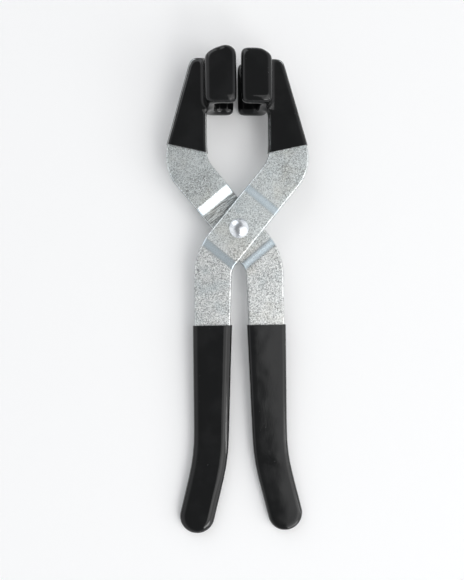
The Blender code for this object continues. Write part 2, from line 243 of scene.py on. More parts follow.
@dataclass(frozen=True)
class ZincPlate:
    """Bright zinc on rolled strip: a fine spangle, faint tints, handling scratches, polished bends with a
    painted bluish sheen, and side walls darkened partly by painted shade.
    """

    dark: Colour = (0.21, 0.23, 0.235, 1)
    light: Colour = (0.90, 0.945, 0.94, 1)
    handle_dark: Colour = (0.08, 0.09, 0.095, 1)
    handle_light: Colour = (0.97, 0.99, 0.98, 1)
    # Bend colour: lighter from real polish, and bluish as a painted sheen of what the slopes reflect.
    polished_and_sheen: Colour = (0.77, 0.89, 0.955, 1)
    # Side wall colour: the dull sheared edge, and painted shade.
    sheared_and_painted_shade: Colour = (0.22, 0.24, 0.26, 1)
    straw: Colour = (0.70, 0.68, 0.60, 1)
    blue: Colour = (0.50, 0.59, 0.62, 1)
    scuffed: Colour = (0.12, 0.12, 0.115, 1)
    spangle: float = 0.36 * MM
    blotch: float = 2.6 * MM
    cloud: float = 14.0 * MM
    tint: float = 18.0 * MM
    streak: float = 2.2 * MM
    scrape: float = 0.5 * MM
    stain: float = 21.0 * MM
    pit: float = 0.8 * MM
    burr: float = 1.6 * MM
    handle_fade: Step = (32.0 * MM, 18.0 * MM)
    relief: float = 0.03 * MM
    scuff_turn: float = math.radians(38.0)

    def build(self) -> bpy.types.Material:
        """Makes the material."""
        s = Shader("zinc_plated_steel", Metallic=1.0)
        polish_and_sheen = s.attribute("polish_and_sheen")
        flakes = s.node("ShaderNodeSeparateColor", {0: s.cells(self.spangle, "Color")}).outputs[0]
        grain = s.noise(self.spangle, 3.0)
        blotch = s.noise(self.blotch, 4.0)
        cloud = s.noise(self.cloud, 3.0)
        mottle = s.math("ADD", s.math("MULTIPLY", flakes, 0.26), s.math("MULTIPLY", grain, 0.50))
        mottle = s.math("ADD", mottle, s.math("MULTIPLY", blotch, 0.08))
        mottle = s.math("ADD", mottle, s.math("MULTIPLY", cloud, 0.16))
        height = s.node("ShaderNodeSeparateXYZ", {0: s.place}).outputs[1]
        on_handle = s.spread(height, *self.handle_fade, 0.0, 1.0)
        dark = s.blend(on_handle, self.dark, self.handle_dark)
        light = s.blend(on_handle, self.light, self.handle_light)
        colour = s.blend(s.spread(mottle, 0.28, 0.62, 0.0, 1.0), dark, light)
        tint = s.noise(self.tint, 2.0)
        colour = s.blend(s.spread(tint, 0.52, 0.72, 0.0, 0.3), colour, self.straw)
        colour = s.blend(s.spread(tint, 0.48, 0.28, 0.0, 0.4), colour, self.blue)
        # The bends get lighter from real polish, and a bluish tint that is a painted sheen of what the
        # slopes reflect.
        colour = s.blend(s.math("MULTIPLY", polish_and_sheen, 0.75), colour, self.polished_and_sheen)
        streaks = s.noise(self.streak, 4.0, Vector((0.11, 2.0, 1.0)))
        scratch = s.spread(streaks, 0.66, 0.72, 0.0, 0.35)
        colour = s.blend(scratch, colour, self.light)
        scrapes = s.noise(self.scrape, 4.0, Vector((14.0, 1.0, 1.0)), self.scuff_turn)
        scuff = s.math("MULTIPLY", s.spread(scrapes, 0.44, 0.60, 0.0, 0.8), s.attribute("scuff"))
        colour = s.blend(scuff, colour, self.scuffed)
        stained = s.spread(s.noise(self.stain, 3.0), 0.51, 0.66, 0.0, 0.7)
        pits = s.math("MULTIPLY", s.spread(s.noise(self.pit, 3.0), 0.52, 0.62, 0.0, 1.0), stained)
        colour = s.blend(s.math("MULTIPLY", pits, s.spread(polish_and_sheen, 0, 1, 1, 0.1)), colour, self.scuffed)
        # Darkens every side wall of the plate: partly the dull sheared edge, partly painted shade, so that
        # walls away from the key light look dark.
        facing = s.node("ShaderNodeNewGeometry").outputs["True Normal"]
        level = s.math("ABSOLUTE", s.node("ShaderNodeSeparateXYZ", {0: facing}).outputs[2])
        burr = s.spread(s.noise(self.burr, 3.0), 0.35, 0.7, 0.9, 0.35)
        cut = s.math("MULTIPLY", s.spread(level, 0.35, 0.78, 1.0, 0.0), burr)
        colour = s.blend(cut, colour, self.sheared_and_painted_shade)
        rough = s.math("ADD", s.spread(mottle, 0.3, 0.7, 0.52, 0.36), s.math("MULTIPLY", polish_and_sheen, -0.12))
        rough = s.math("SUBTRACT", rough, s.math("MULTIPLY", scratch, 0.15), clamp=True)
        normal = s.relief(blotch, self.relief * 2)
        grit = s.math("MULTIPLY", mottle, s.spread(polish_and_sheen, 0, 1, 1, 0.25))
        normal = s.relief(grit, self.relief, normal)
        return s.finish(Base_Color=colour, Roughness=rough, Normal=normal)


@dataclass(frozen=True)
class DippedVinyl:
    """Thick black vinyl from a dip tank: glossy, faintly rippled, with a little dust and haze."""

    black: Colour = (0.0035, 0.0038, 0.0040, 1)
    worn: Colour = (0.007, 0.0073, 0.0076, 1)
    dust: Colour = (0.16, 0.16, 0.165, 1)
    haze: float = 14.0 * MM
    speck: float = 3.2 * MM
    lint: float = 9.0 * MM
    smudge: float = 5.0 * MM
    ripple: Step = (11.0 * MM, 0.05 * MM)
    peel: Step = (1.1 * MM, 0.006 * MM)

    def build(self) -> bpy.types.Material:
        """Makes the material."""
        s = Shader("black_dipped_vinyl", Metallic=0.0, IOR=1.43)
        haze = s.noise(self.haze, 4.0)
        colour = s.blend(s.spread(haze, 0.4, 0.7, 0.0, 1.0), self.black, self.worn)
        specks = s.spread(s.cells(self.speck, "Distance"), 0.03, 0.055, 0.8, 0.0)
        lint = s.math("MULTIPLY", specks, s.spread(s.noise(self.lint), 0.5, 0.6, 0.0, 1.0))
        colour = s.blend(lint, colour, self.dust)
        smudge = s.noise(self.smudge, 5.0)
        rough = s.spread(haze, 0.35, 0.7, 0.05, 0.1)
        rough = s.math("ADD", rough, s.spread(smudge, 0.5, 0.75, 0.0, 0.05))
        rough = s.math("ADD", rough, s.math("MULTIPLY", lint, 0.4), clamp=True)
        normal = s.relief(s.noise(self.ripple[0], 1.0), self.ripple[1])
        normal = s.relief(s.noise(self.peel[0], 2.0), self.peel[1], normal)
        return s.finish(Base_Color=colour, Roughness=rough, Normal=normal)


@dataclass(frozen=True)
class BrightSteel:
    """Plain steel with a faintly uneven polish, as on the rivet and its washer."""

    bright: Colour = (0.90, 0.93, 0.95, 1)
    dull: Colour = (0.62, 0.65, 0.69, 1)
    low_rough: float = 0.18
    high_rough: float = 0.34
    wear: float = 2.5 * MM
    dimple: Step = (0.9 * MM, 0.012 * MM)
    name: str = "bright_rivet_steel"

    def build(self) -> bpy.types.Material:
        """Makes the material."""
        s = Shader(self.name, Metallic=1.0)
        wear = s.noise(self.wear, 5.0)
        colour = s.blend(s.spread(wear, 0.35, 0.68, 0.0, 1.0), self.bright, self.dull)
        rough = s.spread(wear, 0.35, 0.7, self.low_rough, self.high_rough)
        normal = s.relief(s.noise(self.dimple[0], 4.0), self.dimple[1])
        return s.finish(Base_Color=colour, Roughness=rough, Normal=normal)


@dataclass(frozen=True)
class PaleFloor:
    """Matt pale floor, a little brighter to the camera and to reflections than to the pliers."""

    seen: Colour = (0.94, 0.94, 0.94, 1)
    lit: Colour = (0.78, 0.78, 0.79, 1)
    mottled: Colour = (0.70, 0.70, 0.71, 1)
    mottle: float = 0.6
    glow: float = 0.045

    def build(self) -> bpy.types.Material:
        """Makes the material."""
        s = Shader("pale_floor", Roughness=0.75, IOR=1.3)
        grain = s.noise(self.mottle, 2.0)
        rays = s.node("ShaderNodeLightPath").outputs
        mirrored = s.math("MAXIMUM", rays["Is Glossy Ray"], rays["Is Transmission Ray"])
        shown = s.math("MAXIMUM", rays["Is Camera Ray"], mirrored)
        pale = s.blend(shown, self.lit, self.seen)
        colour = s.blend(s.math("MULTIPLY", grain, 0.05), pale, self.mottled)
        glow = s.math("MULTIPLY", shown, self.glow)
        white = s.blend(shown, (0, 0, 0, 1), (1, 1, 1, 1))
        return s.finish(Base_Color=colour, Emission_Color=white, Emission_Strength=glow)


# ---- shape tools ----------------------------------------------------------------------------------


class Draft:
    """The drawing tools that the pieces share."""

    ARC_STEP = math.radians(4.0)
    EDGE_STEPS = 6
    DOME_STEPS = 14
    SIDES = 72
    OVERRUN = 9 * MM  # how far a cut runs past what it cuts

    @staticmethod
    def meet(point_a: Vector, along_a: Vector, point_b: Vector, along_b: Vector) -> Vector:
        """Where two lines of the plane cross, each given by a point and a direction."""
        across = along_b.orthogonal()
        return point_a + along_a * ((point_b - point_a).dot(across) / along_a.dot(across))

    @staticmethod
    def square(half: float, radius: float) -> list[Corner]:
        """A square's corners, which make a circle if their radius is half its side."""
        return [(half, half, radius), (-half, half, radius), (-half, -half, radius), (half, -half, radius)]

    @staticmethod
    def mirrored(upper: list[Corner]) -> list[Corner]:
        """The corners of a section whose lower half mirrors its upper half."""
        return [(x, -z, radius) for x, z, radius in reversed(upper)] + upper

    @classmethod
    def rounded(cls, corners: list[Corner]) -> Outline:
        """An outline with its corners rounded.

        Args:
            corners: Counterclockwise (x, y, radius) corners.

        Returns:
            (point, outward normal) pairs.
        """
        found = []
        for i, (x, y, radius) in enumerate(corners):
            here, before = Vector((x, y)), Vector(corners[i - 1][:2])
            after = Vector(corners[(i + 1) % len(corners)][:2])
            arriving, leaving = (here - before).normalized(), (after - here).normalized()
            turn = -arriving.angle_signed(leaving)
            side = math.copysign(1, turn)
            normal = Vector((arriving.y, -arriving.x))
            centre = here - arriving * radius * math.tan(abs(turn) / 2) - normal * radius * side
            steps = max(1, math.ceil(abs(turn) / cls.ARC_STEP))
            for k in range(steps + 1):
                facing = Matrix.Rotation(turn * k / steps, 2) @ normal
                found.append((centre + facing * radius * side, facing))
        return found

    @classmethod
    def edges(cls, half_height: float, offset: float, radius: float) -> list[Step]:
        """The steps of a slab whose outer edges are rounded.

        Args:
            half_height: Half the slab's height.
            offset: How far the slab's wall stands outside its outline.
            radius: The edges' rounding.

        Returns:
            (offset, height) steps from the bottom up.
        """
        turns = [i / cls.EDGE_STEPS * math.pi / 2 for i in range(cls.EDGE_STEPS + 1)]
        wall, base = offset - radius, half_height - radius
        upper = [(wall + radius * math.cos(a), base + radius * math.sin(a)) for a in turns]
        return [(out, -height) for out, height in reversed(upper)] + upper

    @staticmethod
    def slab(outline: Outline, steps: list[Step]) -> bmesh.types.BMesh:
        """A closed mesh from an outline at several heights.

        Args:
            outline: The outline's points and normals.
            steps: The (offset, height) of each copy of the outline.

        Returns:
            The mesh.
        """
        made = bmesh.new()
        loops = [
            [made.verts.new((*(point + normal * offset), height)) for point, normal in outline]
            for offset, height in steps
        ]
        for low, high in zip(loops, loops[1:]):
            for i in range(len(outline)):
                j = (i + 1) % len(outline)
                made.faces.new((low[i], low[j], high[j], high[i]))
        made.faces.new(reversed(loops[0]))
        made.faces.new(loops[-1])
        return made

    @staticmethod
    def along_y(made: bmesh.types.BMesh, middle: float) -> bmesh.types.BMesh:
        """Turns a slab drawn in X and Z so that its height runs along Y.

        Args:
            made: The slab.
            middle: The Y of its middle.

        Returns:
            The same mesh.
        """
        bmesh.ops.rotate(made, verts=made.verts, matrix=Matrix.Rotation(math.pi / 2, 3, "X"))
        bmesh.ops.translate(made, verts=made.verts, vec=(0, middle, 0))
        return made

    @staticmethod
    def cut_off(made: bmesh.types.BMesh, point: Vector, normal: Vector) -> bmesh.types.BMesh:
        """Removes what lies on the normal's side of a plane and caps the cut.

        Args:
            made: A closed mesh.
            point: A point on the plane.
            normal: The plane's normal.

        Returns:
            The same mesh.
        """
        whole = [*made.verts, *made.edges, *made.faces]
        cut = bmesh.ops.bisect_plane(made, geom=whole, plane_co=point, plane_no=normal, clear_outer=True)
        rim = [e for e in cut["geom_cut"] if isinstance(e, bmesh.types.BMEdge)]
        bmesh.ops.contextual_create(made, geom=rim)
        return made

    @classmethod
    def turned(cls, profile: list[Step]) -> bmesh.types.BMesh:
        """A closed solid of revolution about Z.

        Args:
            profile: (radius, height) points, with both ends on the axis.

        Returns:
            The mesh.
        """
        made = bmesh.new()
        points = [made.verts.new((radius, 0, height)) for radius, height in profile]
        line = [made.edges.new(pair) for pair in zip(points, points[1:])]
        whole = [*points, *line]
        bmesh.ops.spin(made, geom=whole, axis=(0, 0, 1), cent=(0, 0, 0), angle=math.tau, steps=cls.SIDES)
        bmesh.ops.remove_doubles(made, verts=made.verts, dist=0.001 * MM)
        bmesh.ops.recalc_face_normals(made, faces=made.faces)
        return made


class Body:
    """A mesh object on its way to becoming a finished piece."""

    def __init__(self, name: str, *solids: bmesh.types.BMesh) -> None:
        """Makes the object from one or more closed shapes.

        Args:
            name: The object's name.
            *solids: The shapes, which are used up.
        """
        mesh = bpy.data.meshes.new(name)
        whole = bmesh.new()
        for solid in solids:
            bmesh.ops.recalc_face_normals(solid, faces=solid.faces)
            part = bpy.data.meshes.new("part")
            solid.to_mesh(part)
            solid.free()
            whole.from_mesh(part)
            bpy.data.meshes.remove(part)
        whole.to_mesh(mesh)
        whole.free()
        self.object = link(name, mesh)

    def modify(self, kind: str, **settings: object) -> bpy.types.Modifier:
        """Adds a modifier.

        Args:
            kind: The modifier's type.
            **settings: Its attributes.

        Returns:
            The modifier.
        """
        made = self.object.modifiers.new(kind.lower(), kind)
        for key, value in settings.items():
            setattr(made, key, value)
        return made

    def settle(self) -> None:
        """Turns the object and its modifiers into one plain mesh."""
        bpy.context.view_layer.update()
        graph = bpy.context.evaluated_depsgraph_get()
        mesh = bpy.data.meshes.new_from_object(self.object.evaluated_get(graph))
        self.object.modifiers.clear()
        self.object.data = mesh

    def cut(self, solid: bmesh.types.BMesh) -> None:
        """Cuts a closed shape out of the object.

        Args:
            solid: The shape, which is used up.
        """
        other = Body("cutter", solid)
        self.modify("BOOLEAN", operation="DIFFERENCE", solver="MANIFOLD", object=other.object)
        self.settle()
        bpy.data.objects.remove(other.object)

    def smooth(self, angle: float) -> None:
        """Shades the mesh smooth, apart from edges sharper than an angle in degrees."""
        self.object.data.shade_smooth()
        self.object.data.set_sharp_from_angle(angle=math.radians(angle))

    def present(
        self, place: Matrix, side: Side, slot: Slot, stands_for: str, look: bpy.types.Material
    ) -> None:
        """Puts the finished piece in the frame.

        Args:
            place: The pliers' own frame in the row's frame.
            side: The arm that the piece belongs to.
            slot: The record's slot for its finish; not used.
            stands_for: The CAD node that it replaces.
            look: Its material.
        """
        mesh = self.object.data
        mesh.transform(place @ side.turn)
        mesh.materials.clear()
        mesh.materials.append(look)
        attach(self.object, side.value)
        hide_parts(stands_for)
        mesh.calc_loop_triangles()
        LOG.info("%s: %d triangles, on %s", self.object.name, len(mesh.loop_triangles), side.value)


class GeometryTree(Tree):
    """A Geometry Nodes group with named inputs that ends in Realize Instances and Set Material."""

    def __init__(self, name: str, **numbers: float) -> None:
        """Starts the group.

        Args:
            name: The group's name.
            **numbers: A float input and its default for each size.
        """
        super().__init__(bpy.data.node_groups.new(name, "GeometryNodeTree"))
        faces = self.tree.interface
        faces.new_socket("Geometry", in_out="INPUT", socket_type="NodeSocketGeometry")
        faces.new_socket("Geometry", in_out="OUTPUT", socket_type="NodeSocketGeometry")
        self.ids = {}
        for key, value in numbers.items():
            made = faces.new_socket(key.replace("_", " "), in_out="INPUT", socket_type="NodeSocketFloat")
            made.default_value = value
            self.ids[key] = made.identifier
        made = faces.new_socket("Finish", in_out="INPUT", socket_type="NodeSocketMaterial")
        self.ids["Finish"] = made.identifier
        self.start = self.node("NodeGroupInput")

    def size(self, key: str) -> NodeSocket:
        """A named input's socket inside the group."""
        return self.start.outputs[key.replace("_", " ")]

    def mark(self, shape: NodeSocket, name: str, value: NodeSocket) -> NodeSocket:
        """The geometry with a number stored on its points under a name."""
        inputs = {"Geometry": shape, "Name": name, "Value": value}
        return self.node("GeometryNodeStoreNamedAttribute", inputs, data_type="FLOAT").outputs[0]

    def close(self, shape: NodeSocket) -> None:
        """Ends the group.

        Args:
            shape: The geometry to hand out.
        """
        real = self.node("GeometryNodeRealizeInstances", {0: shape})
        dressed = self.node("GeometryNodeSetMaterial", {"Geometry": real.outputs[0]})
        self.feed(dressed.inputs["Material"], self.start.outputs["Finish"])
        self.node("NodeGroupOutput", {0: dressed.outputs[0]})

    def apply(self, body: Body, **values: object) -> None:
        """Adds the group to an object.

        Args:
            body: The object.
            **values: A value for each named input that differs from its default.
        """
        modifier = body.modify("NODES", node_group=self.tree)
        for key, value in values.items():
            modifier[self.ids[key]] = value


class JoggleTree(GeometryTree):
    """Lifts the crossing stretch of an arm over soft bends, and marks its scuffs and its polished bends,
    which also carry a painted sheen.
    """

    SOFT, STRAIGHT = 0.45, 0.55  # shares of a rounded and a plain slope in a bend
    POLISH_AND_SHEEN_GAIN = 6.0
    SCUFF_STOP = 8.0
    SCUFF_FADE = 1.5 * MM

    def __init__(self) -> None:
        """Builds the group."""
        super().__init__(
            "press_joggle",
            Slope=0.0,
            Lift=0.0,
            Jaw_start=0.0,
            Jaw_end=0.0,
            Handle_start=0.0,
            Handle_end=0.0,
            Scuff=0.0,
            Scuff_start=0.0,
        )
        place = self.node("GeometryNodeInputPosition").outputs[0]
        parts = self.node("ShaderNodeSeparateXYZ", {0: place}).outputs
        across = self.math("MULTIPLY", parts[0], self.math("COSINE", self.size("Slope")))
        up = self.math("MULTIPLY", parts[1], self.math("SINE", self.size("Slope")))
        along = self.math("ADD", across, up)
        back = self.math("MULTIPLY", along, -1.0)
        falls = []
        for distance, side in ((along, "Jaw"), (back, "Handle")):
            start, end = self.size(f"{side}_start"), self.size(f"{side}_end")
            soft = self.spread(distance, start, end, 0.0, 1.0)
            plain = self.node("ShaderNodeMapRange", {0: distance, 1: start, 2: end}).outputs[0]
            soft, plain = self.math("MULTIPLY", soft, self.SOFT), self.math("MULTIPLY", plain, self.STRAIGHT)
            falls.append(self.math("ADD", soft, plain))
        fall = self.math("MAXIMUM", *falls)
        rise = self.math("MULTIPLY", self.size("Lift"), self.math("SUBTRACT", 1.0, fall))
        shift = self.node("ShaderNodeCombineXYZ", {2: rise}).outputs[0]
        moved = self.node("GeometryNodeSetPosition", {0: self.start.outputs[0], "Offset": shift})
        humps = [self.math("MULTIPLY", f, self.math("SUBTRACT", 1.0, f)) for f in falls]
        # Bend mark: real polish, and the share of the painted bluish sheen.
        polish_and_sheen = self.math("MULTIPLY", self.math("MAXIMUM", *humps), self.POLISH_AND_SHEEN_GAIN, clamp=True)
        marked = self.mark(moved.outputs[0], "polish_and_sheen", polish_and_sheen)
        start = self.size("Scuff_start")
        full = self.math("ADD", start, self.SCUFF_FADE)
        begun = self.node("ShaderNodeMapRange", {0: along, 1: start, 2: full}).outputs[0]
        bent = self.math("MULTIPLY", falls[0], self.SCUFF_STOP, clamp=True)
        over = self.math("SUBTRACT", 1.0, bent, clamp=True)
        rubbed = self.math("MULTIPLY", self.math("MULTIPLY", begun, over), self.size("Scuff"))
        self.close(self.mark(marked, "scuff", rubbed))


class DipTree(GeometryTree):
    """Softens a blocked-out coat and gives it the slow ripple that a dip leaves."""

    def __init__(self) -> None:
        """Builds the group."""
        super().__init__("dip_coat", Softness=10.0, Ripple=0.0, Ripple_size=1.0)
        place = self.node("GeometryNodeInputPosition").outputs[0]
        rounds = self.node("FunctionNodeFloatToInt", {0: self.size("Softness")}).outputs[0]
        blur = {"Value": place, "Iterations": rounds}
        soft = self.node("GeometryNodeBlurAttribute", blur, data_type="FLOAT_VECTOR").outputs[0]
        calm = self.node("GeometryNodeSetPosition", {0: self.start.outputs[0], "Position": soft})
        scale = self.math("DIVIDE", 1.0, self.size("Ripple_size"))
        noise = {"Vector": place, "Scale": scale, "Detail": 1.0}
        wave = self.node("ShaderNodeTexNoise", noise).outputs["Fac"]
        height = self.math("MULTIPLY", self.math("SUBTRACT", wave, 0.5), self.size("Ripple"))
        normal = self.node("GeometryNodeInputNormal").outputs[0]
        push = self.node("ShaderNodeVectorMath", {0: normal, "Scale": height}, operation="SCALE")
        rippled = self.node("GeometryNodeSetPosition", {0: calm.outputs[0], "Offset": push.outputs[0]})
        smooth = self.node("GeometryNodeSetShadeSmooth", {0: rippled.outputs[0]})
        self.close(smooth.outputs[0])


# ---- the pieces -----------------------------------------------------------------------------------


@dataclass
class Channel:
    """The steel jaw channel inside the coat, which opens towards the other jaw."""

    end: float = 90.2 * MM
    length: float = 25.4 * MM
    depth: float = 25.4 * MM
    leg: float = 13.2 * MM
    wall: float = 3.0 * MM
    tip_gap: float = 2.5 * MM
    outside_round: float = 1.2 * MM
    inside_round: float = 2.6 * MM
    tip_round: float = 1.0 * MM
    weld_leg: float = 2.2 * MM
    weld_length: float = 19.4 * MM
    coat: float = 1.35 * MM
    corner: Step = (5.0 * MM, 3.2 * MM)

    @property
    def face(self) -> float:
        """The X of the web's outer face."""
        return self.tip_gap / 2 + self.coat + self.leg

    @property
    def start(self) -> float:
        """The Y of the end towards the rivet."""
        return self.end - self.length

    @property
    def middle(self) -> float:
        """The Y of the channel's middle."""
        return self.end - self.length / 2

    def cut_corner(self, made: bmesh.types.BMesh, stand_off: float) -> bmesh.types.BMesh:
        """Cuts the far corner off a shape that stands outside the channel's web by a distance.

        Args:
            made: The shape.
            stand_off: How far it stands outside the steel.

        Returns:
            The same mesh.
        """
        across, along = self.corner
        outward = Vector((along, across, 0)).normalized()
        point = Vector((self.face - across, self.end, 0)) + outward * stand_off
        return Draft.cut_off(made, point, outward)

    def corners(self) -> list[Corner]:
        """The channel's section in X and Z."""
        tip, face, half = self.tip_gap / 2 + self.coat, self.face, self.depth / 2
        inner, inner_half = face - self.wall, half - self.wall
        return [
            (tip, -half, self.tip_round),
            (face, -half, self.outside_round),
            (face, half, self.outside_round),
            (tip, half, self.tip_round),
            (tip, inner_half, self.tip_round),
            (inner, inner_half, self.inside_round),
            (inner, -inner_half, self.inside_round),
            (tip, -inner_half, self.tip_round),
        ]


@dataclass
class Arm:
    """The pressed steel arm, from the jaw's end to the handle's."""

    channel: Channel = field(default_factory=Channel)
    steel: float = 3.0 * MM
    seam: float = 0.25 * MM
    plate_gap: float = 0.3 * MM
    slope: float = math.radians(50.5)
    cross_width: float = 21.3 * MM
    edge: float = 1.0 * MM
    jaw_step: Step = (16.6 * MM, 22.3 * MM)
    handle_step: Step = (14.3 * MM, 19.6 * MM)
    jaw_reach: float = 89.6 * MM
    jaw_end_width: float = 8.0 * MM
    jaw_end_round: float = 3.2 * MM
    jaw_lean: float = math.radians(15.9)
    jaw_bends: Step = (16.0 * MM, 24.0 * MM)
    relief: float = 0.8 * MM
    spread: float = 23.8 * MM
    handle_width: float = 20.4 * MM
    taper: float = math.radians(2.2)
    handle_bends: Step = (9.5 * MM, 37.0 * MM)
    straight: float = 119.3 * MM
    sweep: float = math.radians(14.0)
    sweep_radius: float = 100.0 * MM
    sweep_length: float = 39.0 * MM
    end_width: float = 16.4 * MM
    end_fullness: float = 0.49
    hole: float = 3.2 * MM
    bend_cuts: int = 14
    scuff_start: float = 9.5 * MM

    @property
    def along(self) -> Vector:
        """The direction of the crossing stretch."""
        return Vector((math.cos(self.slope), math.sin(self.slope)))

    def outline(self) -> Outline:
        """The flat blank, seen from +Z."""
        half = self.along.orthogonal() * self.cross_width / 2
        up, meet = Vector((0, 1)), Draft.meet
        swept = Vector((-math.sin(self.sweep), -math.cos(self.sweep)))
        tapered = Vector((-math.sin(self.taper), -math.cos(self.taper)))
        lean = Vector((math.sin(self.jaw_lean), -math.cos(self.jaw_lean)))
        land_x = self.channel.face + self.seam
        throat_x = land_x + self.relief
        land_y = self.channel.start - self.channel.coat
        jaw_inside = meet(half, self.along, Vector((throat_x, 0)), up)
        outer_top = Vector((land_x + self.jaw_end_width, self.jaw_reach))
        jaw_outside = meet(-half, self.along, outer_top, lean)
        handle_outside = meet(half, self.along, Vector((-self.spread, 0)), up)
        sweep_outside = Vector((-self.spread, -self.straight))
        handle_inside = meet(-half, self.along, handle_outside + Vector((self.handle_width, 0)), tapered)
        end_outside = sweep_outside + swept * self.sweep_length
        across_end = Vector((math.cos(self.sweep), -math.sin(self.sweep))) * self.end_width
        sweep_inside = meet(handle_inside, tapered, sweep_outside + across_end, swept)
        end_round = self.end_width * self.end_fullness
        return Draft.rounded(
            [
                (land_x, self.jaw_reach, self.channel.coat),
                (land_x, land_y, 2 * self.relief),
                (throat_x, land_y - 2 * self.relief, 2 * self.relief),
                (*jaw_inside, self.jaw_bends[0]),
                (*handle_outside, self.handle_bends[1]),
                (*sweep_outside, self.sweep_radius),
                (*end_outside, end_round),
                (*(end_outside + across_end), end_round),
                (*sweep_inside, self.sweep_radius),
                (*handle_inside, self.handle_bends[0]),
                (*jaw_outside, self.jaw_bends[1]),
                (*outer_top, self.jaw_end_round),
            ]
        )

    def build(self, name: str, scuff: float, joggle: JoggleTree, look: bpy.types.Material) -> Body:
        """Builds the plate with its soft bends and rivet hole.

        Args:
            name: The piece's name.
            scuff: How rubbed the plate is beside its jaw bend, from 0 to 1.
            joggle: The tree that presses the bends.
            look: The plate's finish.

        Returns:
            The plate, in the pliers' own plane.
        """
        plate = Draft.slab(self.outline(), Draft.edges(self.steel / 2, 0, self.edge))
        along = Vector((*self.along, 0))
        cuts = [self.scuff_start, self.scuff_start + JoggleTree.SCUFF_FADE]
        for low, high in (self.jaw_step, (-self.handle_step[1], -self.handle_step[0])):
            cuts += [low + (high - low) * i / self.bend_cuts for i in range(self.bend_cuts + 1)]
        for distance in cuts:
            whole = [*plate.verts, *plate.edges, *plate.faces]
            bmesh.ops.bisect_plane(plate, geom=whole, plane_co=along * distance, plane_no=along)
        body = Body(name, plate)
        ring = Draft.rounded(Draft.square(self.hole, self.hole))
        body.cut(Draft.slab(ring, [(0, -Draft.OVERRUN), (0, Draft.OVERRUN)]))
        body.smooth(40)
        joggle.apply(
            body,
            Slope=self.slope,
            Lift=(self.steel + self.plate_gap) / 2,
            Jaw_start=self.jaw_step[0],
            Jaw_end=self.jaw_step[1],
            Handle_start=self.handle_step[0],
            Handle_end=self.handle_step[1],
            Scuff=scuff,
            Scuff_start=self.scuff_start,
            Finish=look,
        )
        body.modify("WEIGHTED_NORMAL", keep_sharp=True, weight=100)
        body.settle()
        return body


